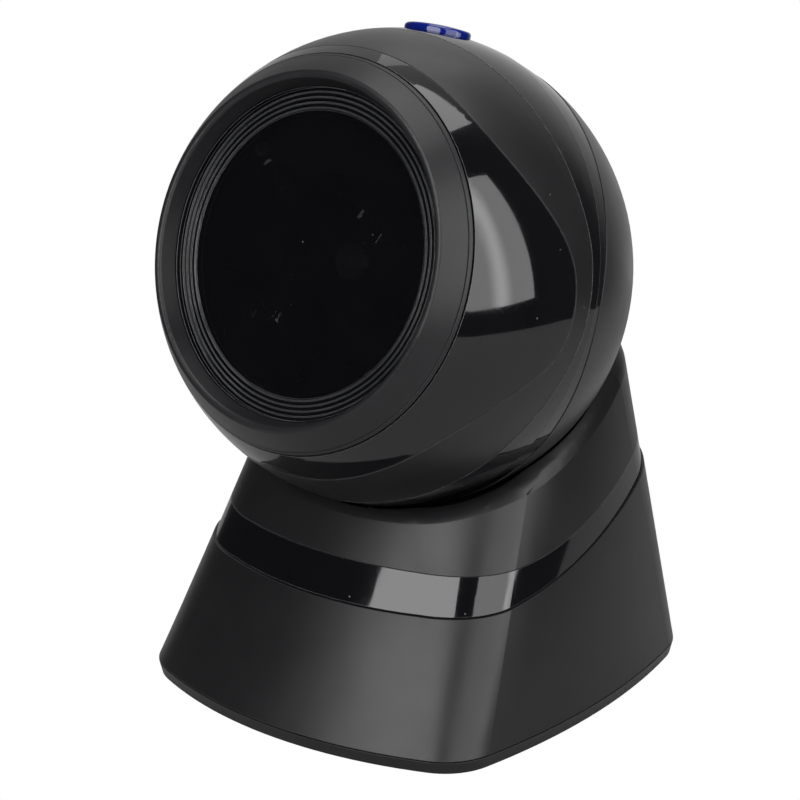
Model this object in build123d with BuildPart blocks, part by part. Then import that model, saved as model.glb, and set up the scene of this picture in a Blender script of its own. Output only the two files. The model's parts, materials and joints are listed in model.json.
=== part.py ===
from build123d import *
import math
import os

# Presentation barcode scanner: a ball-shaped scan head that tilts in the socket of
# a leaning pedestal. Millimetres, +Z up. The pedestal rests on z = 0 with its middle
# on the Z axis, and the scan window looks towards -Y.

os.makedirs("parts", exist_ok=True)

# ---------------------------------------------------------------- driving dimensions

# Ball head
HEAD_R = 53.0  # outside radius of the ball
HEAD_Y = -9.0  # its centre stands forward of the pedestal's middle
HEAD_Z = 98.3
PITCH = 18.0  # degrees the window looks up
SKIN = 2.2  # wall of the outer panels
HOUSING_R = 50.7  # inner housing that the front panels clip on
HOUSING_WALL = 2.0
SEAM = 0.3  # width of the parting lines
TRIM_SINK = 0.15  # the trim ring lies this far below the panels

# Window end of the ball, measured forward from its centre
BEZEL_BACK = 31.3
BEZEL_LIP = 36.63
FLANGE_FACE = 31.4
WINDOW_R = 30.6
WINDOW_FLANGE_R = 33.0
RIDGE_R = 31.2
RIDGE_STEP = 1.13
RIDGE_COUNT = 4

# Push button on the crown: an oval, long side across the head
BUTTON_ANGLE = 91.0  # degrees from straight back, over the top
BUTTON_WIDE = 8.0
BUTTON_LONG = 6.3
BUTTON_GAP = 0.3
BUTTON_TRAVEL = 0.6

# Tilt joint: a hollow stem from the pedestal enters the ball through a slot
SOCKET_TILT = 27.5  # degrees the socket leans back from straight down
RIM_DEPTH = 36.0  # ball centre to the plane of the pedestal's rim
BALL_GAP = 0.5
STEM_R = 5.5
STEM_BORE_R = 3.2
SLOT_R = 6.2
TILT_UP = 10.0
TILT_DOWN = 24.0
STEM_AT = 90.0 - PITCH - SOCKET_TILT  # degrees below straight back
SLOT_REAR = STEM_AT - TILT_UP  # where the slot's round ends centre
SLOT_FRONT = STEM_AT + TILT_DOWN

# Pedestal
BASE_HALF = (51.1, 54.3)  # half width and half depth at the middle of the bowed sides
BASE_CORNER = (45.6, 43.6)  # where the bowed sides would meet
BASE_CORNER_R = 14.5
RIM_HALF = 41.1
RIM_CORNER = 33.1
RIM_CORNER_R = 28.0
RIM_ROUND = 5.0  # between the rim and the wall
FOOT_DROP = 0.6
PLATE_TOP = 3.4
SHELL_FOOT = PLATE_TOP + SEAM
UPPER_INSET = 0.45  # the upper shell and band sit in from the lower shell

# ---------------------------------------------------------------- frames and helpers

pitch = math.radians(PITCH)
lean = math.radians(SOCKET_TILT)
centre = Vector(0, HEAD_Y, HEAD_Z)
across = Vector(1, 0, 0)
forward = Vector(0, -math.cos(pitch), math.sin(pitch))
upward = Vector(0, math.sin(pitch), math.cos(pitch))
socket_way = Vector(0, math.sin(lean), -math.cos(lean))

section = Plane(origin=centre, x_dir=across, z_dir=upward * -1)  # (radius, forward)
side = Plane(origin=centre, x_dir=forward * -1, z_dir=across)  # (back, up)
optic_axis = Axis(centre, forward)
socket_axis = Axis(centre, socket_way)
# (radius, way down the socket)
socket_section = Plane(origin=centre, x_dir=across, z_dir=across.cross(socket_way))


def head_point(back, up, x=0.0):
    """A point given in the head's own directions."""
    return centre - forward * back + upward * up + across * x


def facing(ahead):
    """Plane square to the optic axis, a distance ahead of the ball's centre."""
    return Plane(origin=centre + forward * ahead, x_dir=across, z_dir=forward)


def down_socket(depth):
    """Plane square to the socket axis, normal pointing away from the ball's centre."""
    return Plane(origin=centre + socket_way * depth, x_dir=across, z_dir=socket_way)


def ray(angle, distance):
    """Plane whose normal leaves the ball's centre at an angle above straight back."""
    turn = math.radians(angle)
    way = forward * -math.cos(turn) + upward * math.sin(turn)
    return Plane(origin=centre + way * distance, x_dir=across, z_dir=way)


def ball(radius, mode=Mode.ADD):
    with Locations(centre):
        Sphere(radius, mode=mode)


def hollow_ball(outer, inner):
    with BuildPart() as wall:
        ball(outer)
        ball(inner, mode=Mode.SUBTRACT)
    return wall.part


def keep_between(front, rear):
    """Keep what lies between two seams, each a list of (back, up) points, top first."""
    with BuildSketch(side) as area:
        with BuildLine():
            front_seam = Spline(*front) if len(front) > 2 else Line(*front)
            rear_seam = Spline(*rear) if len(rear) > 2 else Line(*rear)
            Line(front_seam @ 0, rear_seam @ 0)
            Line(front_seam @ 1, rear_seam @ 1)
        make_face()
    extrude(area.sketch, amount=HEAD_R + 10, both=True, mode=Mode.INTERSECT)


def shifted(seam, distance):
    return [(back + distance, up) for back, up in seam]


def ring(inner, outer, low, high, mode=Mode.ADD):
    """Ring about the optic axis between two radii and two distances ahead."""
    with BuildSketch(section) as profile:
        with Locations(((inner + outer) / 2, (low + high) / 2)):
            Rectangle(outer - inner, high - low)
    revolve(profile.sketch, axis=optic_axis, mode=mode)


def bowed_outline(plane, half, corner, radius, inset):
    """Rounded square whose four sides bow outward, drawn in from its size by inset."""
    x, y = corner[0] - inset, corner[1] - inset
    a, b = half[0] - inset, half[1] - inset
    with BuildSketch(plane) as outline:
        with BuildLine():
            ThreePointArc((-x, -y), (0, -b), (x, -y))
            ThreePointArc((x, -y), (a, 0), (x, y))
            ThreePointArc((x, y), (0, b), (-x, y))
            ThreePointArc((-x, y), (-a, 0), (-x, -y))
        make_face()
        fillet(outline.vertices(), radius=radius - inset)
    return outline.sketch


def base_outline(height, inset):
    """The pedestal's outline at its foot."""
    plane = Plane.XY.offset(height)
    return bowed_outline(plane, BASE_HALF, BASE_CORNER, BASE_CORNER_R, inset)


rim_plane = Plane(
    origin=centre + socket_way * RIM_DEPTH, x_dir=across, z_dir=socket_way * -1
)


def pedestal_block(inset, rounding=0):
    """Solid bounded by the pedestal's wall, drawn in from its outside by inset."""
    foot = base_outline(SHELL_FOOT, inset)
    rim = bowed_outline(
        rim_plane, (RIM_HALF,) * 2, (RIM_CORNER,) * 2, RIM_CORNER_R, inset
    )
    with BuildPart() as block:
        loft([foot, rim], ruled=True)
        if rounding:
            fillet(block.faces().sort_by(Axis.Z)[-1].edges(), radius=rounding)
    return block.part


def keep_level(low, high):
    """Keep what lies between two lines of (y, z) points across the pedestal."""
    with BuildSketch(Plane.YZ) as area:
        with BuildLine():
            low_line = Spline(*low) if len(low) > 2 else Line(*low)
            high_line = Spline(*high) if len(high) > 2 else Line(*high)
            Line(low_line @ 0, high_line @ 0)
            Line(low_line @ 1, high_line @ 1)
        make_face()
    extrude(area.sketch, amount=BASE_HALF[0] + 10, both=True, mode=Mode.INTERSECT)


def lifted(line, height):
    return [(y, z + height) for y, z in line]


def save(piece, name):
    piece.part.label = name
    export_step(piece.part, f"parts/{name}.step")


# Seams of the ball in (back, up), top first
seam_front = [(-29.2, 49), (-27.8, 44), (-25.6, 34.5), (-16.2, 20), (-8.6, 9.5),
              (-6.1, -2), (-7.6, -11), (-13.0, -18.6), (-18.4, -26.2), (-21.8, -34),
              (-23.2, -44), (-23.6, -56)]
seam_crown = [(-15.0, 58), (-12.6, 51), (-10.2, 42), (-7.6, 32), (-4.8, 21.3),
              (-2.5, 12.5), (-1.5, 4), (-1.4, -5), (-2.5, -13.5), (-4.1, -23),
              (-5.7, -32.5), (-7.4, -43), (-9.8, -56)]
seam_mid = [(13.5, 57), (8.5, 52.3), (4.3, 49), (2.3, 45.4), (1.5, 40), (1.3, 30),
            (1.1, 20), (1.3, 10), (1.5, 0), (1.7, -10), (2.1, -20), (2.8, -32),
            (4.6, -56)]
seam_rear = [(20.0, 56), (13.5, 48), (10.0, 42.2), (8.0, 36), (6.5, 30), (4.9, 22),
             (3.7, 13), (3.1, 3), (3.3, -5), (4.5, -14), (6.1, -23), (7.8, -32),
             (9.4, -43), (10.4, -56)]
bezel_edge = [(-BEZEL_BACK, 60), (-BEZEL_BACK, -60)]
far_back = [(60, 60), (60, -60)]
housing_edge = [(19.0, 58), (7.6, -58)]  # rear edge of the inner housing
half_seam = SEAM / 2

# Trim band's edges on the pedestal in (y, z), front first
band_low = [(-70, 28.6), (-38, 29.9), (-24, 31.4), (-10, 34.2), (4, 38.2), (18, 42.9),
            (36, 49.0), (70, 60.5)]
band_high = [(-70, 37.6), (-38, 38.0), (-24, 38.8), (-10, 40.6), (4, 44.2), (18, 49.2),
             (36, 56.0), (70, 69.0)]
sky = [(-70, 160), (70, 160)]
ground = [(-70, -10), (70, -10)]

# ---------------------------------------------------------------- ball: outer panels

panel_ball = hollow_ball(HEAD_R, HEAD_R - SKIN)
trim_ball = hollow_ball(HEAD_R - TRIM_SINK, HEAD_R - SKIN)
housing_ball = hollow_ball(HOUSING_R, HOUSING_R - HOUSING_WALL)

# Satin ring around the window: the ball's own curve outside, a cone down to the window
lip_r = math.sqrt(HEAD_R**2 - BEZEL_LIP**2)
edge_r = math.sqrt(HEAD_R**2 - BEZEL_BACK**2)
mid_ahead = (BEZEL_LIP + BEZEL_BACK) / 2
mid_r = math.sqrt(HEAD_R**2 - mid_ahead**2)
with BuildPart() as front_bezel:
    with BuildSketch(section) as bezel_profile:
        with BuildLine():
            ThreePointArc((edge_r, BEZEL_BACK), (mid_r, mid_ahead), (lip_r, BEZEL_LIP))
            Polyline(
                (lip_r, BEZEL_LIP),
                (37.0, 36.6),
                (35.8, 32.75),
                (36.6, 32.75),
                (36.6, 28.6),
                (39.6, 28.6),
                (39.6, BEZEL_BACK),
                (edge_r, BEZEL_BACK),
            )
        make_face()
        rim_corners = bezel_profile.vertices().sort_by(Axis.Y)[-2:]
        fillet(rim_corners, radius=0.8)
    revolve(axis=optic_axis)
    ring(edge_r - 0.85, edge_r + 1, BEZEL_BACK + 0.6, BEZEL_BACK + 0.8, Mode.SUBTRACT)
save(front_bezel, "front_bezel")

# Gloss frame in the recess: flange with thin concentric ridges, and a short wall
with BuildPart() as window_frame:
    ring(WINDOW_R + 0.1, 36.4, FLANGE_FACE - 1.2, FLANGE_FACE)
    ring(35.5, 36.4, FLANGE_FACE, FLANGE_FACE + 1.2)
    for turn in range(RIDGE_COUNT):
        ridge = RIDGE_R + turn * RIDGE_STEP
        with BuildSketch(section):
            with BuildLine():
                Polyline(
                    (ridge - 0.2, FLANGE_FACE - 0.1),
                    (ridge - 0.07, FLANGE_FACE + 0.25),
                    (ridge + 0.07, FLANGE_FACE + 0.25),
                    (ridge + 0.2, FLANGE_FACE - 0.1),
                    close=True,
                )
            make_face()
        revolve(axis=optic_axis)
save(window_frame, "window_frame")

# Smoked window with a stepped edge, held from behind
window_back = FLANGE_FACE - 2.7
with BuildPart() as scan_window:
    with BuildSketch(facing(window_back)):
        Circle(WINDOW_FLANGE_R)
    extrude(amount=1.4)
    with BuildSketch(facing(window_back)):
        Circle(WINDOW_R)
    extrude(amount=2.55)
save(scan_window, "scan_window")

with BuildPart() as window_gasket:
    ring(31.4, WINDOW_FLANGE_R, window_back - 0.5, window_back)
save(window_gasket, "window_gasket")

# Gloss front shell: wide at the sides, a narrow strip over and under the window
with BuildPart() as front_shell:
    add(panel_ball)
    keep_between(shifted(bezel_edge, 0.35), shifted(seam_front, -half_seam))
save(front_shell, "front_shell")

# Satin collar behind the front shell, all the way round
with BuildPart() as collar_panel:
    add(panel_ball)
    keep_between(shifted(seam_front, half_seam), shifted(seam_crown, -half_seam))
save(collar_panel, "collar_panel")

# Gloss crown: broad over the top, where it holds the button, a strip down the sides
with BuildPart() as crown_panel:
    add(panel_ball)
    keep_between(shifted(seam_crown, half_seam), shifted(seam_mid, -half_seam))
    with BuildSketch(ray(BUTTON_ANGLE, 0)):
        Ellipse(BUTTON_WIDE + BUTTON_GAP, BUTTON_LONG + BUTTON_GAP)
    extrude(amount=HEAD_R + 5, mode=Mode.SUBTRACT)
save(crown_panel, "crown_panel")

# Gloss trim ring behind the crown, sunk a little below the panels
with BuildPart() as trim_ring:
    add(trim_ball)
    keep_between(shifted(seam_mid, 0.05), shifted(seam_rear, -0.1))
save(trim_ring, "trim_ring")

# Rear shell with the curved slot that the stem passes through, and two screw wells
PILLAR_X = 38.5
PILLAR_BACK = 20.0
screw_seats = [
    Plane(origin=head_point(PILLAR_BACK, 0, x), x_dir=across, z_dir=forward * -1)
    for x in (PILLAR_X, -PILLAR_X)
]
with BuildPart() as rear_shell:
    for seat in screw_seats:
        with BuildSketch(seat):
            Circle(4.4)
        extrude(amount=25)
    ball(HEAD_R - 0.5, mode=Mode.INTERSECT)
    add(panel_ball)
    keep_between(shifted(seam_rear, 0.1), far_back)
    with BuildSketch(side):
        with BuildLine():
            slot_start = (70 * math.cos(math.radians(SLOT_REAR)),
                          -70 * math.sin(math.radians(SLOT_REAR)))
            slot_end = (70 * math.cos(math.radians(SLOT_FRONT)),
                        -70 * math.sin(math.radians(SLOT_FRONT)))
            Polyline((0, 0), slot_start, slot_end, close=True)
        make_face()
    extrude(amount=SLOT_R, both=True, mode=Mode.SUBTRACT)
    for angle in (SLOT_REAR, SLOT_FRONT):
        with BuildSketch(ray(-angle, 0)):
            Circle(SLOT_R)
        extrude(amount=HEAD_R + 5, mode=Mode.SUBTRACT)
    for seat in screw_seats:
        with BuildSketch(seat.offset(2.0)):
            Circle(3.0)
        extrude(amount=30, mode=Mode.SUBTRACT)
        with BuildSketch(seat.offset(-1)):
            Circle(1.6)
        extrude(amount=5, mode=Mode.SUBTRACT)
save(rear_shell, "rear_shell")

# ---------------------------------------------------------------- ball: inner structure

CHASSIS_FACE = -2.0
CHASSIS_THICK = 2.5

# Inner housing behind the front panels, with a flange behind the window
with BuildPart() as front_housing:
    add(housing_ball)
    keep_between(shifted(bezel_edge, 2.9), housing_edge)
    ring(31.4, 41.3, window_back - 2.6, window_back - 0.6)
    with BuildSketch(ray(BUTTON_ANGLE, 0)):
        Ellipse(BUTTON_WIDE + 0.8, BUTTON_LONG + 0.8)
    extrude(amount=HEAD_R + 5, mode=Mode.SUBTRACT)
save(front_housing, "front_housing")

# Chassis plate that carries the optics in front and the main board behind
with BuildPart() as optics_chassis:
    with BuildSketch(facing(CHASSIS_FACE - CHASSIS_THICK)):
        Circle(47.6)
        with Locations((0, -47)):
            Rectangle(40, 10, mode=Mode.SUBTRACT)
        with Locations((0, 46)):
            Rectangle(34, 24, mode=Mode.SUBTRACT)
        Circle(3.05, mode=Mode.SUBTRACT)
    extrude(amount=CHASSIS_THICK)
    for seat in screw_seats:
        with BuildSketch(seat.offset(-0.1)):
            Circle(3.2)
        extrude(amount=CHASSIS_FACE + PILLAR_BACK - 0.5, dir=forward)
        with BuildSketch(seat.offset(-0.1)):
            Circle(1.2)
        extrude(amount=10, dir=forward, mode=Mode.SUBTRACT)
save(optics_chassis, "optics_chassis")

# Pattern mirrors stand in a fan round the polygon and throw the beams out forward
MIRROR_COUNT = 5
MIRROR_STEP = 52.0
MIRROR_AHEAD = 13.0  # middle of each mirror, ahead of the ball's centre
MIRROR_R = 27.5  # and out from the optic axis
MIRROR_LEAN = 38.0
MIRROR_THICK = 1.2
slope = math.radians(MIRROR_LEAN)


def fan_way(index):
    """Direction out from the optic axis to one mirror of the fan."""
    turn = math.radians(-90 + (index - (MIRROR_COUNT - 1) / 2) * MIRROR_STEP)
    return across * math.cos(turn) + upward * math.sin(turn)


def mirror_face(outward):
    """Plane of a mirror's glass, leaning outward as it comes forward."""
    return Plane(
        origin=centre + forward * MIRROR_AHEAD + outward * MIRROR_R,
        x_dir=outward.cross(forward) * -1,
        z_dir=forward * math.sin(slope) - outward * math.cos(slope),
    )


fan = [fan_way(index) for index in range(MIRROR_COUNT)]
with BuildPart() as pattern_mirrors:
    for outward in fan:
        with BuildSketch(mirror_face(outward).offset(-MIRROR_THICK)):
            Trapezoid(31, 21, 75)
        extrude(amount=MIRROR_THICK)
save(pattern_mirrors, "pattern_mirrors")

with BuildPart() as mirror_frame:
    for outward in fan:
        with BuildSketch(mirror_face(outward).offset(-MIRROR_THICK - 2.3)):
            Trapezoid(37, 23.5, 74)
        extrude(amount=2.2)
    for outward in fan:
        rib_plane = Plane(
            origin=centre, x_dir=outward, z_dir=outward.cross(forward)
        )
        with BuildSketch(rib_plane):
            with BuildLine():
                Polyline(
                    (24, CHASSIS_FACE + 0.1),
                    (38, CHASSIS_FACE + 0.1),
                    (38, 12),
                    (34.3, 17.8),
                    (23.9, 4.4),
                    close=True,
                )
            make_face()
        extrude(amount=1.2, both=True)
save(mirror_frame, "mirror_frame")

# Motor on the chassis, turning the polygon about the optic axis
SHAFT_R = 1.5
with BuildPart() as motor_base:
    with BuildSketch(facing(CHASSIS_FACE + 0.1)):
        Circle(14)
        Circle(3.0, mode=Mode.SUBTRACT)
    extrude(amount=1.5)
    with BuildSketch(facing(CHASSIS_FACE + 1.6)):
        Circle(8.2)
        Circle(3.0, mode=Mode.SUBTRACT)
        with PolarLocations(8.2, 9):
            Rectangle(2.4, 1.6, mode=Mode.SUBTRACT)
    extrude(amount=4.2)
save(motor_base, "motor_base")

with BuildPart() as motor_bearing:
    ring(SHAFT_R + 0.05, 3.0, CHASSIS_FACE - CHASSIS_THICK - 1.5, CHASSIS_FACE + 6.4)
save(motor_bearing, "motor_bearing")

with BuildPart() as motor_shaft:
    with BuildSketch(facing(CHASSIS_FACE - CHASSIS_THICK - 2.5)):
        Circle(SHAFT_R)
    extrude(amount=24.5)
    chamfer(motor_shaft.edges().filter_by(GeomType.CIRCLE), length=0.3)
save(motor_shaft, "motor_shaft")

ROTOR_TOP = CHASSIS_FACE + 8.6
with BuildPart() as rotor_cup:
    ring(SHAFT_R, 11.4, ROTOR_TOP - 1.6, ROTOR_TOP)
    ring(9.6, 11.4, CHASSIS_FACE + 2.2, ROTOR_TOP - 1.6)
save(rotor_cup, "rotor_cup")

POLYGON_FACETS = 4
with BuildPart() as polygon_mirror:
    with BuildSketch(facing(ROTOR_TOP)):
        RegularPolygon(16.0, POLYGON_FACETS, major_radius=True, rotation=20)
        Circle(SHAFT_R, mode=Mode.SUBTRACT)
    extrude(amount=9.0, taper=3)
    chamfer(polygon_mirror.edges().filter_by(GeomType.LINE).sort_by(optic_axis)[:4], 0.4)
save(polygon_mirror, "polygon_mirror")

with BuildPart() as polygon_clip:
    ring(SHAFT_R, 4.0, ROTOR_TOP + 9.05, ROTOR_TOP + 9.75)
save(polygon_clip, "polygon_clip")

# Optics over the polygon: laser barrel, fold mirror, collector and detector
with BuildPart() as detector_shroud:
    with BuildSketch(facing(13.0)):
        with Locations((0, 25.5)):
            Rectangle(41, 15)
    extrude(amount=12.5)
    fillet(detector_shroud.edges().filter_by(Axis(centre, forward)), radius=2)
    with BuildSketch(facing(12.0)):
        with Locations((0, 25.0)):
            Rectangle(31, 11.4)
    extrude(amount=12.0, mode=Mode.SUBTRACT)
    with BuildSketch(Plane(origin=head_point(-20.5, 33), x_dir=across, z_dir=upward)):
        with GridLocations(5.6, 1, 5, 1):
            SlotOverall(3.6, 1.0)
    extrude(amount=-4, mode=Mode.SUBTRACT)
    with BuildSketch(Plane(origin=head_point(-18.5, 18), x_dir=across, z_dir=upward)):
        Rectangle(16, 7)
    extrude(amount=4, mode=Mode.SUBTRACT)
    with BuildSketch(facing(CHASSIS_FACE + 0.1)):
        with Locations((-18.2, 30.0), (18.2, 30.0)):
            Circle(1.8)
    extrude(amount=15.5)
save(detector_shroud, "detector_shroud")

with BuildPart() as detector_board:
    with BuildSketch(facing(14.5)):
        with Locations((0, 25.0)):
            Rectangle(26, 10)
    extrude(amount=1.2)
save(detector_board, "detector_board")

with BuildPart() as photodiode:
    with BuildSketch(facing(15.7)):
        with Locations((0, 24.5)):
            Rectangle(7, 6)
    extrude(amount=1.8)
save(photodiode, "photodiode")

LASER_ROOT = Plane(
    origin=head_point(-6.0, 26.0, -15.4), x_dir=forward, z_dir=across
)
with BuildPart() as laser_clamp:
    with BuildSketch(LASER_ROOT.offset(3.0)):
        Rectangle(11.0, 11.0)
        Circle(3.6, mode=Mode.SUBTRACT)
    extrude(amount=8.0)
save(laser_clamp, "laser_clamp")

with BuildPart() as laser_module:
    with BuildSketch(LASER_ROOT):
        Circle(3.5)
        Circle(2.4, mode=Mode.SUBTRACT)
    extrude(amount=14.0)
    with BuildSketch(LASER_ROOT):
        Circle(2.6)
    extrude(amount=6.0)
save(laser_module, "laser_module")

with BuildPart() as laser_lens:
    with BuildSketch(LASER_ROOT.offset(11.0)):
        Circle(2.3)
    extrude(amount=1.6)
save(laser_lens, "laser_lens")

fold_face = Plane(
    origin=head_point(-6.0, 26.0, 5.2),
    x_dir=forward,
    z_dir=(across * -1 - upward).normalized(),
)
with BuildPart() as fold_mirror:
    with BuildSketch(fold_face):
        Rectangle(9, 8)
    extrude(amount=-1.2)
save(fold_mirror, "fold_mirror")

collector_face = Plane(
    origin=head_point(-22.5, 9.0), x_dir=across, z_dir=(upward * 0.8 - forward * 0.6)
)
with BuildPart() as collector_mirror:
    with BuildSketch(collector_face):
        RectangleRounded(20, 9, 2)
    extrude(amount=-2.4)
    with Locations(collector_face.offset(30)):
        Sphere(30.9, mode=Mode.SUBTRACT)
save(collector_mirror, "collector_mirror")

# Main board behind the chassis
BOARD_AHEAD = -21.6
BOARD_THICK = 1.6
BOARD_R = 34.0
board_face = BOARD_AHEAD + BOARD_THICK
post_spots = [(20, 20), (-20, 20), (21, -18), (-21, -18)]
with BuildPart() as board_posts:
    with BuildSketch(facing(board_face + 0.05)):
        with Locations(*post_spots):
            RegularPolygon(2.6, 6)
            Circle(1.0, mode=Mode.SUBTRACT)
    extrude(amount=CHASSIS_FACE - CHASSIS_THICK - board_face - 0.1)
save(board_posts, "board_posts")

with BuildPart() as main_board:
    with BuildSketch(facing(BOARD_AHEAD)):
        Circle(BOARD_R)
        with Locations((0, -46)):
            Rectangle(80, 46, mode=Mode.SUBTRACT)
        with Locations(*post_spots):
            Circle(1.2, mode=Mode.SUBTRACT)
    extrude(amount=BOARD_THICK)
save(main_board, "main_board")

with BuildPart() as main_board_chips:
    with BuildSketch(facing(BOARD_AHEAD - 0.05)):
        with Locations((-6, 4)):
            Rectangle(14, 14)
        with Locations((12, 8)):
            Rectangle(10, 7)
        with Locations((10, -8), (-10, -12)):
            Rectangle(6, 5)
    extrude(amount=-1.4)
    with BuildSketch(facing(BOARD_AHEAD - 0.05)):
        with Locations((-22, 4), (-22, 11)):
            Circle(2.5)
    extrude(amount=-6.0)
save(main_board_chips, "main_board_chips")

with BuildPart() as board_screws:
    with BuildSketch(facing(BOARD_AHEAD - 1.45)):
        with Locations(*post_spots):
            Circle(2.2)
    extrude(amount=1.4)
    with BuildSketch(facing(BOARD_AHEAD - 1.45)):
        with Locations(*post_spots):
            Circle(0.9)
    extrude(amount=6)
save(board_screws, "board_screws")

with BuildPart() as sounder:
    with BuildSketch(facing(board_face + 0.05)):
        with Locations((-8, 21)):
            Circle(6.0)
    extrude(amount=7.0)
    with BuildSketch(facing(board_face + 7.05)):
        with Locations((-8, 21)):
            Circle(1.0)
    extrude(amount=-2.0, mode=Mode.SUBTRACT)
save(sounder, "sounder")

with BuildPart() as rear_shell_screws:
    for seat in screw_seats:
        with BuildSketch(seat.offset(2.05)):
            Circle(2.7)
        extrude(amount=1.8)
        with BuildSketch(seat.offset(2.05)):
            Circle(1.1)
        extrude(amount=-10.0)
        with BuildSketch(seat.offset(3.85)):
            Rectangle(2.6, 0.5)
            Rectangle(0.5, 2.6)
        extrude(amount=-1.0, mode=Mode.SUBTRACT)
save(rear_shell_screws, "rear_shell_screws")

# ---------------------------------------------------------------- ball: push button

BUTTON_TOP = HEAD_R + 1.5
DOME_R = 45.0
SKIRT_TOP = 47.4  # upper face of the flange that keeps the button in
with BuildPart() as scan_button:
    with BuildSketch(ray(BUTTON_ANGLE, SKIRT_TOP - 0.1)):
        Ellipse(BUTTON_WIDE, BUTTON_LONG)
    extrude(amount=10)
    with Locations(ray(BUTTON_ANGLE, BUTTON_TOP - DOME_R)):
        Sphere(DOME_R, mode=Mode.INTERSECT)
    fillet(scan_button.edges().filter_by(GeomType.BSPLINE)[-1:], radius=0.8)
    with BuildSketch(ray(BUTTON_ANGLE, SKIRT_TOP - 1.2)):
        Ellipse(BUTTON_WIDE + 1.4, BUTTON_LONG + 1.4)
    extrude(amount=1.2)
save(scan_button, "scan_button")

with BuildPart() as switch_plunger:
    with BuildSketch(ray(BUTTON_ANGLE, SKIRT_TOP - 3.4)):
        Circle(1.7)
    extrude(amount=2.15)
save(switch_plunger, "switch_plunger")

with BuildPart() as button_switch:
    with BuildSketch(ray(BUTTON_ANGLE, SKIRT_TOP - 5.6)):
        RectangleRounded(6.2, 6.2, 0.4)
    extrude(amount=3.4)
    with BuildSketch(ray(BUTTON_ANGLE, SKIRT_TOP - 4.2)):
        Circle(1.8)
    extrude(amount=5, mode=Mode.SUBTRACT)
save(button_switch, "button_switch")

with BuildPart() as button_board:
    with BuildSketch(ray(BUTTON_ANGLE, SKIRT_TOP - 6.9)):
        RectangleRounded(26, 9, 1)
    extrude(amount=1.2)
save(button_board, "button_board")

# ---------------------------------------------------------------- tilt joint

STEM_TOP = 39.5  # distances down the socket axis from the ball's centre
STEM_SHOULDER = 57.2
SADDLE_BACK = 46.5
saddle_r = HEAD_R - SKIN - 0.3

# Hollow stem with a shoulder under the cup; the harness runs up its middle
with BuildPart() as pivot_stem:
    with BuildSketch(down_socket(STEM_TOP)):
        Circle(STEM_R)
        Circle(STEM_BORE_R, mode=Mode.SUBTRACT)
    extrude(amount=STEM_SHOULDER + 6 - STEM_TOP)
    with BuildSketch(down_socket(STEM_SHOULDER)):
        RegularPolygon(9.5, 6)
        Circle(STEM_R - 0.5, mode=Mode.SUBTRACT)
    extrude(amount=3.0)
save(pivot_stem, "pivot_stem")

# Saddle inside the ball: its outer face follows the shell's inside
with BuildPart() as clamp_saddle:
    with BuildSketch(down_socket(SADDLE_BACK)):
        RectangleRounded(26, 17, 3)
        Circle(STEM_R + 0.05, mode=Mode.SUBTRACT)
    extrude(amount=6)
    ball(saddle_r, mode=Mode.INTERSECT)
save(clamp_saddle, "clamp_saddle")

with BuildPart() as spring_washer:
    with BuildSketch(down_socket(SADDLE_BACK - 1.6)):
        Circle(8.2)
        Circle(STEM_R + 0.1, mode=Mode.SUBTRACT)
    extrude(amount=1.5)
save(spring_washer, "spring_washer")

with BuildPart() as clamp_nut:
    with BuildSketch(down_socket(SADDLE_BACK - 5.2)):
        RegularPolygon(8.6, 6)
        Circle(STEM_R + 0.02, mode=Mode.SUBTRACT)
    extrude(amount=3.5)
save(clamp_nut, "clamp_nut")

# Cup that the ball turns in, bolted up to the upper shell's web
CUP_R = HEAD_R + BALL_GAP
CUP_EDGE = 30.5
WEB_TOP = 43.4
WEB_THICK = 2.4
EAR_R = 34.0
web_low = WEB_TOP + WEB_THICK
PAD_ANGLE = 26.0  # half-angle of the friction ring about the socket axis
pad_spot = (
    (HEAD_R + 1.3) * math.sin(math.radians(PAD_ANGLE)),
    (HEAD_R + 1.3) * math.cos(math.radians(PAD_ANGLE)),
)
with BuildPart() as socket_cup:
    with BuildSketch(down_socket(web_low + 0.1)):
        Circle(CUP_EDGE + 0.6)
    extrude(amount=STEM_SHOULDER - web_low - 0.2)
    ball(CUP_R + 3.2, mode=Mode.INTERSECT)
    with BuildSketch(down_socket(web_low + 0.1)):
        Circle(12)
    extrude(amount=STEM_SHOULDER - web_low - 0.2)
    with BuildSketch(down_socket(web_low + 0.1)):
        Circle(CUP_EDGE + 0.6)
        with PolarLocations(EAR_R, 3, start_angle=90):
            Circle(4.0)
    extrude(amount=2.0)
    ball(CUP_R, mode=Mode.SUBTRACT)
    with BuildSketch(down_socket(web_low)):
        Circle(STEM_R + 0.05)
        with PolarLocations(EAR_R, 3, start_angle=90):
            Circle(1.6)
    extrude(amount=30, mode=Mode.SUBTRACT)
    with BuildSketch(socket_section):
        with Locations(pad_spot):
            Rectangle(4.0, 2.4, rotation=-PAD_ANGLE)
    revolve(axis=socket_axis, mode=Mode.SUBTRACT)
save(socket_cup, "socket_cup")

with BuildPart() as friction_ring:
    with BuildSketch(socket_section):
        with Locations(pad_spot):
            Rectangle(3.8, 2.2, rotation=-PAD_ANGLE)
    revolve(axis=socket_axis)
    ball(HEAD_R + 0.3, mode=Mode.SUBTRACT)
save(friction_ring, "friction_ring")

with BuildPart() as socket_screws:
    with BuildSketch(down_socket(web_low + 2.15)):
        with PolarLocations(EAR_R, 3, start_angle=90):
            Circle(2.6)
    extrude(amount=1.8)
    with BuildSketch(down_socket(web_low + 2.15)):
        with PolarLocations(EAR_R, 3, start_angle=90):
            Circle(1.25)
    extrude(amount=-3.9)
save(socket_screws, "socket_screws")

# ---------------------------------------------------------------- pedestal

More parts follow.
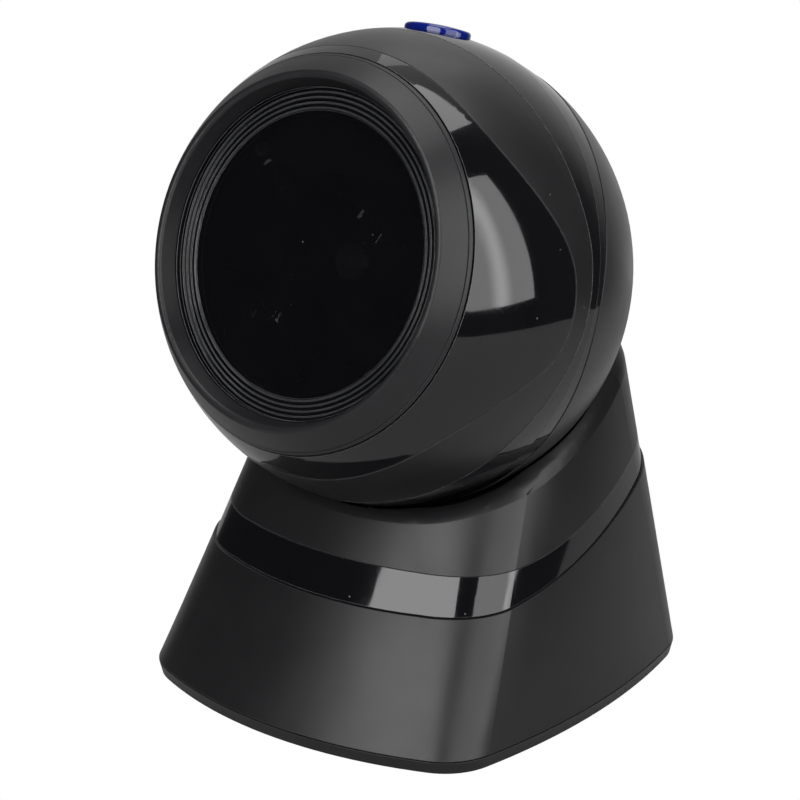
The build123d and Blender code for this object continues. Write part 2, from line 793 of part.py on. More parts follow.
LOWER_WALL = 2.0
UPPER_WALL = 2.6
SKIRT_INSET = 2.2
SKIRT_WALL = 2.0
SKIRT_DROP = 5.0
BOSS_SPOTS = [(36, 33), (-36, 33), (36, -33), (-36, -33)]
BALLAST_SPOTS = [(22, 8), (-22, 8), (22, -32), (-22, -32)]
PORT_SPOTS = [(14, 44), (-14, 44)]
PORT_POST = 2.4


def wall_between(outer, inner, low, high, rounding=0):
    """Wall with its two faces drawn in by outer and inner, kept between two level lines."""
    outside = pedestal_block(outer, rounding)
    inside = pedestal_block(inner)
    with BuildPart() as wall:
        add(outside)
        add(inside, mode=Mode.SUBTRACT)
        keep_level(low, high)
    return wall.part


# Lower shell with four screw bosses on gussets, and the jack's window at the back
BOSS_R = 5.2
SCREW_R = 1.6
JACK_X = 15.6
JACK_TALL = 13.0
JACK_LONG = 15.0
JACK_MOUTH = 52.0
port_face = PLATE_TOP + PORT_POST + 0.05
jack_low = port_face + 1.65
lower_wall = wall_between(0, LOWER_WALL, ground, band_low)
boss_limit = pedestal_block(LOWER_WALL - 1.2)
with BuildPart() as lower_shell:
    with BuildSketch(Plane.XY.offset(SHELL_FOOT)):
        with Locations(*BOSS_SPOTS):
            Circle(BOSS_R)
        for x, y in BOSS_SPOTS:
            with Locations((x * 1.2, y * 1.2)):
                Rectangle(20, 2.4, rotation=math.degrees(math.atan2(y, x)))
    extrude(amount=13)
    add(boss_limit, mode=Mode.INTERSECT)
    add(lower_wall)
    with BuildSketch(Plane.XY.offset(SHELL_FOOT)):
        with Locations(*BOSS_SPOTS):
            Circle(SCREW_R)
    extrude(amount=10, mode=Mode.SUBTRACT)
    with BuildSketch(Plane.XZ.offset(-60)):
        with Locations((0, jack_low + JACK_TALL / 2)):
            RectangleRounded(JACK_X + 0.8, JACK_TALL + 0.8, 0.8)
    extrude(amount=20, mode=Mode.SUBTRACT)
save(lower_shell, "lower_shell")

# Gloss band that fills the step between the shells
band_wall = wall_between(
    UPPER_INSET, SKIRT_INSET - 0.15, lifted(band_low, 0.25), lifted(band_high, -0.05)
)
with BuildPart() as trim_band:
    add(band_wall)
save(trim_band, "trim_band")

# Upper shell: the rim that holds the ball, a web for the cup, a skirt behind the band
upper_wall = wall_between(
    UPPER_INSET, UPPER_INSET + UPPER_WALL, lifted(band_high, 0.05), sky, RIM_ROUND
)
skirt_wall = wall_between(
    SKIRT_INSET, SKIRT_INSET + SKIRT_WALL, lifted(band_low, -SKIRT_DROP),
    lifted(band_high, 3)
)
web_limit = pedestal_block(SKIRT_INSET + 0.4)
with BuildPart() as upper_shell:
    with BuildSketch(down_socket(WEB_TOP)):
        Circle(60)
        Circle(CUP_EDGE, mode=Mode.SUBTRACT)
        with PolarLocations(EAR_R, 3, start_angle=90):
            Circle(1.3, mode=Mode.SUBTRACT)
    extrude(amount=WEB_THICK)
    add(web_limit, mode=Mode.INTERSECT)
    add(upper_wall)
    add(skirt_wall)
    ball(CUP_R, mode=Mode.SUBTRACT)
save(upper_shell, "upper_shell")

# Bottom plate: flared edge, locating rib, pockets for the feet, screw wells
FOOT_SPOTS = [(26, 43), (-26, 43), (26, -43), (-26, -43)]
FOOT_R = 5.5
POCKET = 0.9
with BuildPart() as bottom_plate:
    loft([base_outline(FOOT_DROP, 0.55), base_outline(PLATE_TOP, 0)], ruled=True)
    extrude(base_outline(PLATE_TOP, LOWER_WALL + 2.0), amount=2.6)
    extrude(base_outline(PLATE_TOP, LOWER_WALL + 3.2), amount=4, mode=Mode.SUBTRACT)
    with BuildSketch(Plane.XY.offset(PLATE_TOP)):
        with Locations(*BOSS_SPOTS):
            Circle(BOSS_R + 0.4)
        for x, y in BOSS_SPOTS:
            with Locations((x * 1.2, y * 1.2)):
                Rectangle(20, 3.2, rotation=math.degrees(math.atan2(y, x)))
        with Locations((0, 50)):
            Rectangle(JACK_X + 1, 12)
    extrude(amount=4, mode=Mode.SUBTRACT)
    with BuildSketch(Plane.XY.offset(PLATE_TOP)):
        with Locations(*BALLAST_SPOTS, *PORT_SPOTS):
            Circle(3.2)
    extrude(amount=PORT_POST)
    with BuildSketch(Plane.XY.offset(PLATE_TOP + PORT_POST)):
        with Locations(*BALLAST_SPOTS, *PORT_SPOTS):
            Circle(1.2)
    extrude(amount=-PORT_POST - 1, mode=Mode.SUBTRACT)
    with BuildSketch(Plane.XY.offset(FOOT_DROP)):
        with Locations(*FOOT_SPOTS):
            Circle(FOOT_R + 0.1)
    extrude(amount=POCKET, mode=Mode.SUBTRACT)
    with BuildSketch(Plane.XY.offset(FOOT_DROP)):
        with Locations(*BOSS_SPOTS):
            Circle(3.2)
    extrude(amount=1.4, mode=Mode.SUBTRACT)
    with BuildSketch(Plane.XY.offset(FOOT_DROP)):
        with Locations(*BOSS_SPOTS):
            Circle(SCREW_R + 0.2)
    extrude(amount=6, mode=Mode.SUBTRACT)
save(bottom_plate, "bottom_plate")

with BuildPart() as rubber_feet:
    with BuildSketch(Plane.XY):
        with Locations(*FOOT_SPOTS):
            Circle(FOOT_R)
    extrude(amount=FOOT_DROP + POCKET)
    chamfer(rubber_feet.edges().group_by(Axis.Z)[0], length=0.4)
save(rubber_feet, "rubber_feet")

with BuildPart() as base_screws:
    with BuildSketch(Plane.XY.offset(FOOT_DROP + 0.1)):
        with Locations(*BOSS_SPOTS):
            Circle(2.8)
    extrude(amount=1.25)
    with BuildSketch(Plane.XY.offset(FOOT_DROP + 0.1)):
        with Locations(*BOSS_SPOTS):
            Circle(SCREW_R - 0.1)
    extrude(amount=11)
    with BuildSketch(Plane.XY.offset(FOOT_DROP + 0.1)):
        with Locations(*BOSS_SPOTS):
            Rectangle(2.8, 0.5)
            Rectangle(0.5, 2.8)
    extrude(amount=0.7, mode=Mode.SUBTRACT)
save(base_screws, "base_screws")

# Steel plate that keeps the stand planted
with BuildPart() as ballast_plate:
    with BuildSketch(Plane.XY.offset(PLATE_TOP + PORT_POST + 0.05)):
        with Locations((0, -12)):
            RectangleRounded(58, 56, 5)
        with Locations(*BALLAST_SPOTS):
            Circle(1.7, mode=Mode.SUBTRACT)
    extrude(amount=9)
save(ballast_plate, "ballast_plate")

ballast_top = PLATE_TOP + PORT_POST + 9.1
with BuildPart() as ballast_screws:
    with BuildSketch(Plane.XY.offset(ballast_top)):
        with Locations(*BALLAST_SPOTS):
            Circle(3.0)
    extrude(amount=1.8)
    with BuildSketch(Plane.XY.offset(ballast_top)):
        with Locations(*BALLAST_SPOTS):
            Circle(1.1)
    extrude(amount=-11.5)
save(ballast_screws, "ballast_screws")

# Interface board with the cable jack facing the back
with BuildPart() as interface_board:
    with BuildSketch(Plane.XY.offset(port_face)):
        with Locations((0, 33.2)):
            Rectangle(36, 27.4)
        with Locations(*PORT_SPOTS):
            Circle(1.3, mode=Mode.SUBTRACT)
    extrude(amount=1.6)
save(interface_board, "interface_board")

with BuildPart() as interface_chips:
    with BuildSketch(Plane.XY.offset(port_face + 1.65)):
        with Locations((11.5, 27)):
            Rectangle(6, 5)
        with Locations((-12, 30)):
            Rectangle(4, 8)
        with Locations((0, 24.5)):
            Rectangle(12, 5)
    extrude(amount=1.5)
    with BuildSketch(Plane.XY.offset(port_face + 1.65)):
        with Locations((0, 24.5)):
            Rectangle(12, 5)
    extrude(amount=5)
save(interface_chips, "interface_chips")

with BuildPart() as port_screws:
    with BuildSketch(Plane.XY.offset(port_face + 1.65)):
        with Locations(*PORT_SPOTS):
            Circle(2.2)
    extrude(amount=1.4)
    with BuildSketch(Plane.XY.offset(port_face + 1.65)):
        with Locations(*PORT_SPOTS):
            Circle(1.1)
    extrude(amount=-4)
save(port_screws, "port_screws")

# Modular jack: square mouth with a stepped keyway for the plug's latch below
with BuildPart() as cable_jack:
    with BuildSketch(Plane.XZ.offset(-JACK_MOUTH)):
        with Locations((0, jack_low + JACK_TALL / 2)):
            Rectangle(JACK_X, JACK_TALL)
    extrude(amount=JACK_LONG)
    with BuildSketch(Plane.XZ.offset(-JACK_MOUTH)):
        with Locations((0, jack_low + JACK_TALL - 5.2)):
            Rectangle(11.8, 7.0)
        with Locations((0, jack_low + 3.4)):
            Rectangle(6.2, 3.0)
    extrude(amount=12, mode=Mode.SUBTRACT)
save(cable_jack, "cable_jack")

# Harness from the interface board up through the stem into the ball
harness_route = [
    centre + socket_way * (STEM_TOP - 1.5),
    centre + socket_way * 71,
    Vector(0, 24.5, 26.0),
    Vector(0, 24.5, port_face + 6.75),
]
with BuildPart() as head_harness:
    with BuildLine() as route:
        FilletPolyline(*harness_route, radius=[12, 12])
    with BuildSketch(Plane(origin=route.line @ 0, z_dir=route.line % 0)):
        Circle(2.4)
    sweep()
save(head_harness, "head_harness")
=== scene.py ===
import bpy
import json
import math
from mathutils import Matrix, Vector


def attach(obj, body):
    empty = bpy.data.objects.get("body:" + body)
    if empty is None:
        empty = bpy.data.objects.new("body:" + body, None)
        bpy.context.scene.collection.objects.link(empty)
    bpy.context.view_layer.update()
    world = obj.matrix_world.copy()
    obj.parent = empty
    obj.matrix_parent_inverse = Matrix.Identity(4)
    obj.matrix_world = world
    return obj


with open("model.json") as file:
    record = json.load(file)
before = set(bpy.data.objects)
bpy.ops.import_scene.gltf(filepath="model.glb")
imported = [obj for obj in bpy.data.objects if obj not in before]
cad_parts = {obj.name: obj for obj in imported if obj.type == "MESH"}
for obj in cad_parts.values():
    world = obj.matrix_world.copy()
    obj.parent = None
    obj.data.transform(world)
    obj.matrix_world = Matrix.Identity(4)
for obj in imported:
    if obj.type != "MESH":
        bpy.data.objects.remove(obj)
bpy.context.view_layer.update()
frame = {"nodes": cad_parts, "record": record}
nodes = frame["nodes"]
scene = bpy.context.scene
scene.view_settings.view_transform = "Standard"

MM = 0.001


def towards(azimuth, elevation):
    """Unit vector: azimuth 0 is -Y and 90 is +X, elevation is above the horizon."""
    a, e = math.radians(azimuth), math.radians(elevation)
    return Vector((math.sin(a) * math.cos(e), -math.cos(a) * math.cos(e), math.sin(e)))


# ------------------------------------------------------------------ camera

CAMERA_AZIMUTH = 38.12
CAMERA_ELEVATION = 19.3
CAMERA_DISTANCE = 562.7 * MM
LENS = 109.85
SENSOR_WIDTH = 36
PICTURE_SHIFT = (-0.0103, 0.0305)
AIM_HEIGHT = 59.08 * MM
AIM_LEFT = 2.44 * MM
camera_back = towards(CAMERA_AZIMUTH, CAMERA_ELEVATION)
camera_right = Vector(
    (math.cos(math.radians(CAMERA_AZIMUTH)), math.sin(math.radians(CAMERA_AZIMUTH)), 0)
)
look_at = Vector((0, 0, AIM_HEIGHT)) - camera_right * AIM_LEFT

camera_data = bpy.data.cameras.new("camera")
camera_data.lens = LENS
camera_data.sensor_width = SENSOR_WIDTH
camera_data.shift_x, camera_data.shift_y = PICTURE_SHIFT
camera_data.clip_start = 0.01
camera = bpy.data.objects.new("camera", camera_data)
camera.location = look_at + camera_back * CAMERA_DISTANCE
camera.rotation_mode = "QUATERNION"
camera.rotation_quaternion = (-camera_back).to_track_quat("-Z", "Y")
scene.collection.objects.link(camera)
scene.camera = camera

# ------------------------------------------------------------------ materials


class Finish:
    """A material in the making: one principled shader and the nodes that feed it."""

    def __init__(self, name, **fixed):
        self.material = bpy.data.materials.new(name)
        self.material.use_nodes = True
        self.tree = self.material.node_tree
        self.shader = self.tree.nodes["Principled BSDF"]
        for socket, value in fixed.items():
            self.shader.inputs[socket.replace("_", " ")].default_value = value
        self.place = self.node("TexCoord").outputs["Object"]
        self.normal = None

    def node(self, kind, **settings):
        made = self.tree.nodes.new("ShaderNode" + kind)
        for key, value in settings.items():
            setattr(made, key, value)
        return made

    def join(self, source, target):
        if isinstance(source, (int, float)):
            target.default_value = source
        elif isinstance(source, tuple):
            target.default_value = (*source, 1) if len(source) == 3 else source
        else:
            self.tree.links.new(source, target)

    def math(self, operation, a, b=0.0):
        made = self.node("Math", operation=operation)
        self.join(a, made.inputs[0])
        self.join(b, made.inputs[1])
        return made.outputs[0]

    def remap(self, value, low, high, out_low=0.0, out_high=1.0):
        made = self.node("MapRange")
        for socket, number in zip(made.inputs, (value, low, high, out_low, out_high)):
            self.join(number, socket)
        return made.outputs[0]

    def stretched(self, scale, turn=(0, 0, 0)):
        made = self.node("Mapping")
        self.join(self.place, made.inputs["Vector"])
        made.inputs["Rotation"].default_value = turn
        made.inputs["Scale"].default_value = scale
        return made.outputs[0]

    def noise(self, size, detail=2.0, roughness=0.5, vector=None):
        """Noise whose features are about size across, in metres."""
        made = self.node("TexNoise")
        self.join(vector or self.place, made.inputs["Vector"])
        made.inputs["Scale"].default_value = 1 / size
        made.inputs["Detail"].default_value = detail
        made.inputs["Roughness"].default_value = roughness
        return made.outputs["Fac"]

    def cells(self, size, output="Distance"):
        """Distance to, or the random colour of, the nearest of points about size apart."""
        made = self.node("TexVoronoi")
        self.join(self.place, made.inputs["Vector"])
        made.inputs["Scale"].default_value = 1 / size
        return made.outputs[output]

    def mix(self, factor, a, b):
        made = self.node("Mix", data_type="RGBA")
        self.join(factor, made.inputs[0])
        self.join(a, made.inputs[6])
        self.join(b, made.inputs[7])
        return made.outputs[2]

    def bump(self, height, depth):
        """Adds relief of a given depth, in metres, over what is there already."""
        made = self.node("Bump")
        made.inputs["Strength"].default_value = 1.0
        made.inputs["Distance"].default_value = depth
        self.join(height, made.inputs["Height"])
        if self.normal:
            self.join(self.normal, made.inputs["Normal"])
        self.normal = made.outputs[0]

    def round_edges(self, radius):
        """Softens the shading of sharp edges and returns how much of an edge it is: the mask for painted edge
        highlights.
        """
        bevel = self.node("Bevel", samples=6)
        bevel.inputs["Radius"].default_value = radius
        flat = self.node("NewGeometry").outputs["Normal"]
        facing = self.node("VectorMath", operation="DOT_PRODUCT")
        self.join(bevel.outputs[0], facing.inputs[0])
        self.join(flat, facing.inputs[1])
        self.normal = bevel.outputs[0]
        return self.remap(facing.outputs["Value"], 0.995, 0.80)

    def dust(self, size, amount):
        """Specks about size apart, of which only a share, amount, is kept at random."""
        near = self.remap(self.cells(size), 0.10, 0.05)
        pick = self.node("SeparateColor")
        self.join(self.cells(size, output="Color"), pick.inputs[0])
        chosen = self.math("LESS_THAN", pick.outputs[0], amount)
        return self.math("MULTIPLY", near, chosen)

    def scratches(self, length, width, turn, cut):
        """Short straight hairlines in one direction."""
        drawn = self.noise(1.0, 2.0, 0.4, self.stretched((1 / width, 1 / length, 1 / width), turn))
        return self.remap(drawn, cut, cut + 0.05)

    def done(self, colour, roughness):
        self.join(colour, self.shader.inputs["Base Color"])
        self.join(roughness, self.shader.inputs["Roughness"])
        if self.normal:
            self.join(self.normal, self.shader.inputs["Normal"])
        return self.material


def shade(colour, factor):
    return tuple(c * factor for c in colour)


# Pale grey of the highlight painted along the edges of satin plastic
EDGE_HIGHLIGHT_TONE = (0.060, 0.060, 0.063)


def satin_plastic(name, colour, roughness, grain, grain_depth, level=0.5):
    """Moulded plastic with a fine spark-eroded grain, faint handling marks and dust."""
    f = Finish(name, IOR=1.5, Specular_IOR_Level=level)
    edge = f.round_edges(0.22 * MM)
    smudge = f.noise(17 * MM, 5, 0.6)
    clouds = f.noise(5 * MM, 3)
    specks = f.dust(2.2 * MM, 0.03)
    pebbles = f.noise(grain, 2, 0.7)
    f.bump(f.noise(6 * MM, 1), 0.012 * MM)
    f.bump(pebbles, grain_depth)
    f.bump(specks, 0.03 * MM)
    tone = f.mix(clouds, shade(colour, 0.86), shade(colour, 1.16))
    tone = f.mix(f.remap(pebbles, 0.62, 0.80, 0, 0.35), tone, shade(colour, 2.6))
    # Painted highlight: edges are lightened towards a pale grey, more or less with the smudge noise
    tone = f.mix(f.math("MULTIPLY", edge, f.remap(smudge, 0.35, 0.7, 0.3, 0.7)), tone, EDGE_HIGHLIGHT_TONE)
    tone = f.mix(f.math("MULTIPLY", specks, 0.3), tone, (0.16, 0.155, 0.15))
    rough = f.remap(smudge, 0.3, 0.7, roughness - 0.035, roughness + 0.045)
    rough = f.math("ADD", rough, f.remap(pebbles, 0.3, 0.7, -0.03, 0.03))
    rough = f.math("ADD", rough, f.math("MULTIPLY", specks, 0.3))
    return f.done(tone, rough)


def gloss_plastic(name, colour, edge_highlight_tone, roughness=0.04, marks=1.0):
    """Polished moulded plastic: slight waviness, wiping hairlines, faint finger haze."""
    f = Finish(name, IOR=1.5)
    edge = f.round_edges(0.10 * MM)
    haze = f.noise(14 * MM, 6, 0.62)
    lines = f.scratches(9 * MM, 0.12 * MM, (0.4, 0.9, 0.3), 0.66)
    cross = f.scratches(6 * MM, 0.10 * MM, (1.3, 0.2, 1.1), 0.68)
    worn = f.math("MAXIMUM", lines, cross)
    specks = f.dust(2.4 * MM, 0.04)
    f.bump(f.noise(9 * MM, 1), 0.010 * MM)
    f.bump(worn, -0.0006 * MM * marks)
    f.bump(specks, 0.03 * MM)
    tone = f.mix(haze, shade(colour, 0.8), shade(colour, 1.3))
    # Painted highlight: the edges are lightened towards the given edge colour
    tone = f.mix(f.math("MULTIPLY", edge, 0.8), tone, edge_highlight_tone)
    tone = f.mix(f.math("MULTIPLY", specks, 0.3), tone, (0.2, 0.195, 0.19))
    rough = f.remap(haze, 0.45, 0.75, roughness, roughness + 0.05 * marks)
    rough = f.math("ADD", rough, f.math("MULTIPLY", worn, 0.05 * marks))
    rough = f.math("ADD", rough, f.math("MULTIPLY", specks, 0.4))
    return f.done(tone, rough)


def smoked_window(name):
    """Polished smoked acrylic, with a little dust and wiping haze."""
    f = Finish(name, IOR=1.49, Alpha=0.72)
    haze = f.noise(22 * MM, 6, 0.65)
    lines = f.scratches(12 * MM, 0.12 * MM, (0.2, 0.5, 0.8), 0.67)
    specks = f.dust(1.8 * MM, 0.03)
    f.bump(f.noise(12 * MM, 1), 0.006 * MM)
    f.bump(lines, -0.0005 * MM)
    tone = f.mix(haze, (0.0010, 0.0010, 0.0015), (0.0030, 0.0030, 0.0036))
    tone = f.mix(f.math("MULTIPLY", specks, 0.7), tone, (0.22, 0.22, 0.23))
    rough = f.remap(haze, 0.4, 0.75, 0.02, 0.07)
    rough = f.math("ADD", rough, f.math("MULTIPLY", specks, 0.5))
    return f.done(tone, rough)


def clear_lens(name):
    f = Finish(name, IOR=1.52, Alpha=0.35)
    haze = f.noise(0.8 * MM, 4)
    f.bump(haze, 0.001 * MM)
    return f.done(f.mix(haze, (0.40, 0.30, 0.45), (0.55, 0.42, 0.60)), f.remap(haze, 0.3, 0.7, 0.02, 0.06))


def rubber(name, colour):
    """Matt rubber with a bloom and picked-up dust."""
    f = Finish(name, IOR=1.5)
    edge = f.round_edges(0.25 * MM)
    bloom = f.noise(4 * MM, 5, 0.65)
    grit = f.noise(0.35 * MM, 3, 0.7)
    f.bump(grit, 0.02 * MM)
    tone = f.mix(bloom, shade(colour, 0.8), shade(colour, 1.8))
    # Painted highlight: edges are lightened to three times the rubber's colour
    tone = f.mix(f.math("MULTIPLY", edge, 0.3), tone, shade(colour, 3))
    return f.done(tone, f.remap(grit, 0.3, 0.7, 0.68, 0.88))


def metal(name, colour, roughness, brushed=0.5, stain=0.75):
    """Turned or rolled metal: fine drawn lines, dull patches, and highlights painted along the edges."""
    f = Finish(name, Metallic=1.0)
    edge = f.round_edges(0.12 * MM)
    drawn = f.noise(1.0, 3, 0.6, f.stretched((1 / (0.10 * MM), 1 / (0.10 * MM), 1 / (6 * MM)), (0.3, 0.1, 0)))
    dull = f.noise(3 * MM, 5, 0.6)
    f.bump(drawn, 0.004 * MM * brushed)
    tone = f.mix(dull, shade(colour, stain), colour)
    # Painted highlight: edges are lightened above the metal's colour
    tone = f.mix(edge, tone, shade(colour, 1.15))
    rough = f.remap(dull, 0.3, 0.7, roughness - 0.05, roughness + 0.09)
    rough = f.math("ADD", rough, f.remap(drawn, 0.3, 0.7, -0.05 * brushed, 0.08 * brushed))
    return f.done(tone, rough)


def mirror(name):
    """Front-silvered glass with cleaning haze and specks."""
    f = Finish(name, Metallic=1.0)
    haze = f.noise(8 * MM, 5, 0.6)
    specks = f.dust(2.0 * MM, 0.12)
    f.bump(f.noise(10 * MM, 1), 0.002 * MM)
    tone = f.mix(haze, (0.80, 0.82, 0.85), (0.88, 0.89, 0.91))
    tone = f.mix(specks, tone, (0.4, 0.4, 0.4))
    return f.done(tone, f.remap(haze, 0.4, 0.75, 0.015, 0.06))


def circuit_board(name):
    """Solder mask over copper traces, with tinned vias and a woven core showing faintly."""
    f = Finish(name, IOR=1.5)
    paths = f.node("TexVoronoi", feature="DISTANCE_TO_EDGE")
    f.join(f.place, paths.inputs["Vector"])
    paths.inputs["Scale"].default_value = 1 / (2.4 * MM)
    paths.inputs["Randomness"].default_value = 0.55
    trace = f.remap(paths.outputs["Distance"], 0.09, 0.06)
    vias = f.remap(f.cells(2.4 * MM), 0.20, 0.16)
    weave = f.noise(0.3 * MM, 2)
    f.bump(trace, 0.02 * MM)
    f.bump(vias, 0.03 * MM)
    f.bump(weave, 0.003 * MM)
    tone = f.mix(weave, (0.008, 0.070, 0.030), (0.014, 0.095, 0.042))
    tone = f.mix(f.math("MULTIPLY", trace, 0.6), tone, (0.030, 0.16, 0.07))
    tone = f.mix(vias, tone, (0.55, 0.55, 0.52))
    return f.done(tone, f.remap(f.noise(3 * MM, 4), 0.3, 0.7, 0.25, 0.42))


SATIN = (0.0065, 0.0065, 0.0072)
looks = {
    "shell_satin": satin_plastic("shell_satin", SATIN, 0.34, 0.22 * MM, 0.0016 * MM, 0.42),
    "bezel_satin": satin_plastic("bezel_satin", shade(SATIN, 1.4), 0.35, 0.42 * MM, 0.014 * MM, 0.25),
    "base_satin": satin_plastic("base_satin", SATIN, 0.34, 0.24 * MM, 0.003 * MM, 0.30),
    # The last colour given to each gloss finish is the highlight painted along its edges
    "shell_gloss": gloss_plastic("shell_gloss", (0.0025, 0.0025, 0.0032), (0.22, 0.22, 0.23)),
    "window_smoked": smoked_window("window_smoked"),
    "button_blue": gloss_plastic("button_blue", (0.002, 0.007, 0.10), (0.01, 0.02, 0.22), 0.07, 0.6),
    "rubber_black": rubber("rubber_black", (0.020, 0.020, 0.020)),
    "inner_black": satin_plastic("inner_black", (0.022, 0.022, 0.023), 0.55, 0.4 * MM, 0.010 * MM),
    "mirror_silver": mirror("mirror_silver"),
    "steel": metal("steel", (0.56, 0.56, 0.57), 0.30),
    "ballast_steel": metal("ballast_steel", (0.30, 0.30, 0.31), 0.45, 1.0, 0.5),
    "aluminium_cast": metal("aluminium_cast", (0.66, 0.66, 0.68), 0.32, 0.8),
    "brass_turned": metal("brass_turned", (0.70, 0.50, 0.22), 0.28, 0.6),
    "board_green": circuit_board("board_green"),
    "chip_black": satin_plastic("chip_black", (0.018, 0.018, 0.019), 0.48, 0.12 * MM, 0.006 * MM),
    "lens_clear": clear_lens("lens_clear"),
    "harness_grey": rubber("harness_grey", (0.035, 0.035, 0.038)),
}
for part in frame["record"]["subparts"]:
    piece = nodes[part["node"]]
    piece.data.materials.clear()
    piece.data.materials.append(looks[part["material_slot"]])

# ------------------------------------------------------------------ jack contacts

CONTACTS = 10
CONTACT_PITCH = 1.02
CONTACT_HALF = 0.22
CONTACT_OUTLINE = ((49.5, 18.72), (49.5, 18.52), (41.0, 16.9), (41.0, 17.1))  # (y, z)


def jack_contacts():
    """Sprung contacts that slope down from the roof of the cable jack."""
    corners = []
    faces = []
    sides = len(CONTACT_OUTLINE)
    for place in range(CONTACTS):
        x = (place - (CONTACTS - 1) / 2) * CONTACT_PITCH
        first = len(corners)
        for y, z in CONTACT_OUTLINE:
            corners += [(edge * MM, y * MM, z * MM) for edge in (x - CONTACT_HALF, x + CONTACT_HALF)]
        for a in range(sides):
            b = (a + 1) % sides
            faces.append([first + 2 * a, first + 2 * a + 1, first + 2 * b + 1, first + 2 * b])
        faces.append([first + 2 * a for a in range(sides)])
        faces.append([first + 2 * a + 1 for a in reversed(range(sides))])
    mesh = bpy.data.meshes.new("jack_contacts")
    mesh.from_pydata(corners, [], faces)
    mesh.materials.append(looks["brass_turned"])
    contacts = bpy.data.objects.new("jack_contacts", mesh)
    scene.collection.objects.link(contacts)
    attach(contacts, "base")


jack_contacts()

# ------------------------------------------------------------------ stage

FLOOR_NEAR = 0.36
FLOOR_FAR = 8.0
FLOOR_SIDES = 96


def floor_material():
    """Pale floor: plain white where the camera sees it, duller in what the object mirrors."""
    f = Finish("floor", IOR=1.45)
    f.done(f.mix(f.noise(3 * MM, 4), (0.37, 0.37, 0.37), (0.40, 0.40, 0.40)), 0.9)
    white = f.node("Emission")
    seen = f.node("MixShader")
    f.join(f.node("LightPath").outputs["Is Camera Ray"], seen.inputs[0])
    f.join(f.shader.outputs[0], seen.inputs[1])
    f.join(white.outputs[0], seen.inputs[2])
    f.join(seen.outputs[0], f.tree.nodes["Material Output"].inputs["Surface"])
    return f.material


def stage_mesh(name, corners, faces, look):
    mesh = bpy.data.meshes.new(name)
    mesh.from_pydata(corners, [], faces)
    mesh.materials.append(look)
    made = bpy.data.objects.new(name, mesh)
    scene.collection.objects.link(made)
    return made


def floor():
    """A disc around the object, and a wide ring beyond it that the object doesn't mirror."""
    look = floor_material()
    turns = [2 * math.pi * i / FLOOR_SIDES for i in range(FLOOR_SIDES)]
    near = [(FLOOR_NEAR * math.cos(t), FLOOR_NEAR * math.sin(t), 0) for t in turns]
    far = [(FLOOR_FAR * math.cos(t), FLOOR_FAR * math.sin(t), 0) for t in turns]
    pairs = [(i, (i + 1) % FLOOR_SIDES) for i in range(FLOOR_SIDES)]
    stage_mesh("floor_near", near, [list(range(FLOOR_SIDES))], look)
    ring = [(a, b, FLOOR_SIDES + b, FLOOR_SIDES + a) for a, b in pairs]
    floor_far = stage_mesh("floor_far", near + far, ring, look)
    floor_far.visible_glossy = False
    floor_far.visible_diffuse = False


STREAK_HALF = 0.10  # half the width of a softbox's bright streak, in metres


def softbox(name, middle, way, width, height, strength, streak=0.0, streak_at=0.0):
    """Glowing panel that faces along way, brighter in an upright streak if asked."""
    glow = bpy.data.materials.new(name)
    glow.use_nodes = True
    tree = glow.node_tree
    tree.nodes.clear()
    out = tree.nodes.new("ShaderNodeOutputMaterial")
    lamp = tree.nodes.new("ShaderNodeEmission")
    tree.links.new(lamp.outputs[0], out.inputs["Surface"])
    place = tree.nodes.new("ShaderNodeTexCoord")
    split = tree.nodes.new("ShaderNodeSeparateXYZ")
    beside = tree.nodes.new("ShaderNodeMath")
    beside.operation = "SUBTRACT"
    beside.inputs[1].default_value = streak_at
    away = tree.nodes.new("ShaderNodeMath")
    away.operation = "ABSOLUTE"
    fall = tree.nodes.new("ShaderNodeMapRange")
    fall.interpolation_type = "SMOOTHSTEP"
    for socket, number in zip(fall.inputs[1:5], (0, STREAK_HALF, strength * (1 + streak), strength)):
        socket.default_value = number
    tree.links.new(place.outputs["Object"], split.inputs[0])
    tree.links.new(split.outputs["X"], beside.inputs[0])
    tree.links.new(beside.outputs[0], away.inputs[0])
    tree.links.new(away.outputs[0], fall.inputs[0])
    tree.links.new(fall.outputs[0], lamp.inputs["Strength"])
    signs = ((-1, -1), (1, -1), (1, 1), (-1, 1))
    corners = [(x * width / 2, y * height / 2, 0) for x, y in signs]
    panel = stage_mesh(name, corners, [(0, 1, 2, 3)], glow)
    panel.location = middle
    panel.rotation_mode = "QUATERNION"
    panel.rotation_quaternion = way.to_track_quat("Z", "Y")
    panel.visible_camera = False
    panel.visible_shadow = False


def standing_box(name, azimuth, spread, low, high, distance, strength, streak=0.0, streak_at=0.0):
    """Upright softbox that spans an angle of azimuth, seen from the object."""
    width = 2 * distance * math.tan(math.radians(spread / 2))
    middle = towards(azimuth, 0) * distance + Vector((0, 0, (low + high) / 2))
    softbox(name, middle, -towards(azimuth, 0), width, high - low, strength, streak, streak_at)


# Brightness of the room behind the object, by how far a direction points to +X
WALL = (
    (-1.0, 0.10), (-0.80, 0.50), (-0.50, 0.85), (-0.23, 0.83), (-0.09, 0.73), (0.035, 0.66),
    (0.16, 0.50), (0.24, 0.36), (0.33, 0.22), (0.39, 0.12), (0.50, 0.06),
)
FRONT_SHARE = 0.05  # what is left of the wall's brightness in front
WALL_STARTS, WALL_FULL = -0.15, 0.45  # how far a direction points to +Y
DARKEST = 0.04


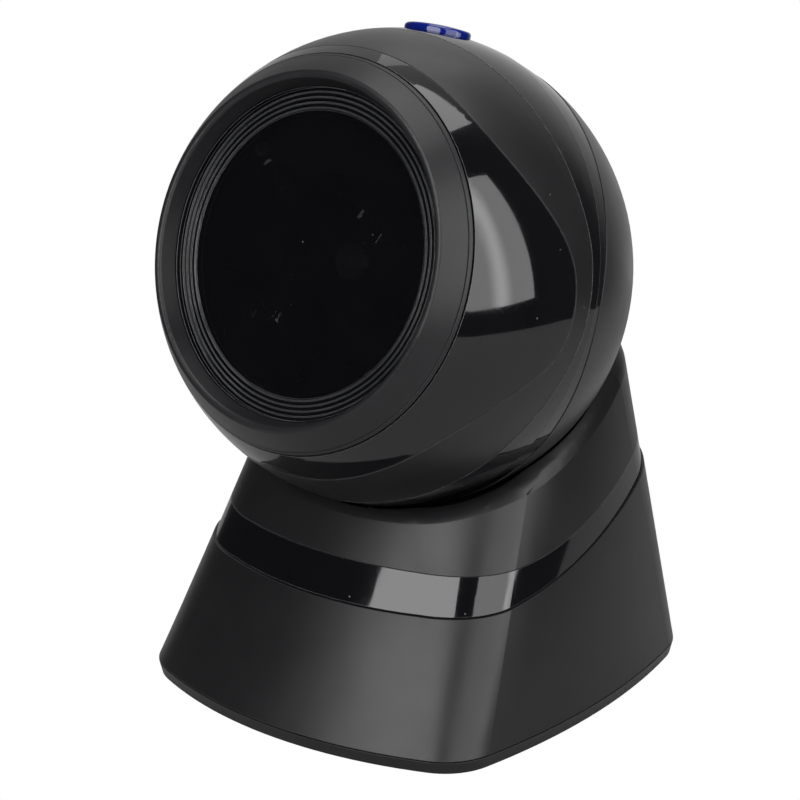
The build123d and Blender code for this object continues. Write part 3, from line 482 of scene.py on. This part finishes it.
def studio_world():
    """Plain white to the camera; mirrored, a bright wall behind and a dark room in front."""
    world = bpy.data.worlds.new("world")
    scene.world = world
    world.use_nodes = True
    tree = world.node_tree
    tree.nodes.clear()
    out = tree.nodes.new("ShaderNodeOutputWorld")
    choice = tree.nodes.new("ShaderNodeMixShader")
    white = tree.nodes.new("ShaderNodeBackground")
    room = tree.nodes.new("ShaderNodeBackground")
    path = tree.nodes.new("ShaderNodeLightPath")
    place = tree.nodes.new("ShaderNodeTexCoord")
    split = tree.nodes.new("ShaderNodeSeparateXYZ")
    along = tree.nodes.new("ShaderNodeMapRange")
    across = tree.nodes.new("ShaderNodeValToRGB")
    behind = tree.nodes.new("ShaderNodeMapRange")
    level = tree.nodes.new("ShaderNodeMath")
    least = tree.nodes.new("ShaderNodeMath")
    white.inputs["Color"].default_value = (1, 1, 1, 1)
    white.inputs["Strength"].default_value = 1.0
    for socket, number in zip(along.inputs[1:5], (-1, 1, 0, 1)):
        socket.default_value = number
    for socket, number in zip(behind.inputs[1:5], (WALL_STARTS, WALL_FULL, FRONT_SHARE, 1.0)):
        socket.default_value = number
    stops = across.color_ramp.elements
    for index, (x, brightness) in enumerate(WALL):
        stop = stops[index] if index < 2 else stops.new(0.5 + x / 2)
        stop.position = 0.5 + x / 2
        stop.color = (brightness, brightness, brightness, 1)
    level.operation = "MULTIPLY"
    least.operation = "MAXIMUM"
    least.inputs[1].default_value = DARKEST
    for source, target in (
        (place.outputs["Generated"], split.inputs[0]),
        (split.outputs["X"], along.inputs[0]),
        (along.outputs[0], across.inputs[0]),
        (split.outputs["Y"], behind.inputs[0]),
        (across.outputs["Color"], level.inputs[0]),
        (behind.outputs[0], level.inputs[1]),
        (level.outputs[0], least.inputs[0]),
        (least.outputs[0], room.inputs["Strength"]),
        (path.outputs["Is Camera Ray"], choice.inputs[0]),
        (room.outputs[0], choice.inputs[1]),
        (white.outputs[0], choice.inputs[2]),
        (choice.outputs[0], out.inputs["Surface"]),
    ):
        tree.links.new(source, target)


# Angles are in degrees and lengths in metres
floor()
standing_box("softbox_side", 73, 62, 0.02, 1.10, 0.80, 3.5, 1.0, -0.20)
standing_box("softbox_front", 1, 42, 0.14, 1.00, 0.85, 6.0)
softbox("softbox_back", towards(-154, 55) * 0.9, -towards(-154, 55), 0.34, 0.20, 1.6)
softbox("softbox_top", Vector((0, 0, 0.95)), Vector((0, 0, -1)), 0.62, 0.62, 4.0)
studio_world()
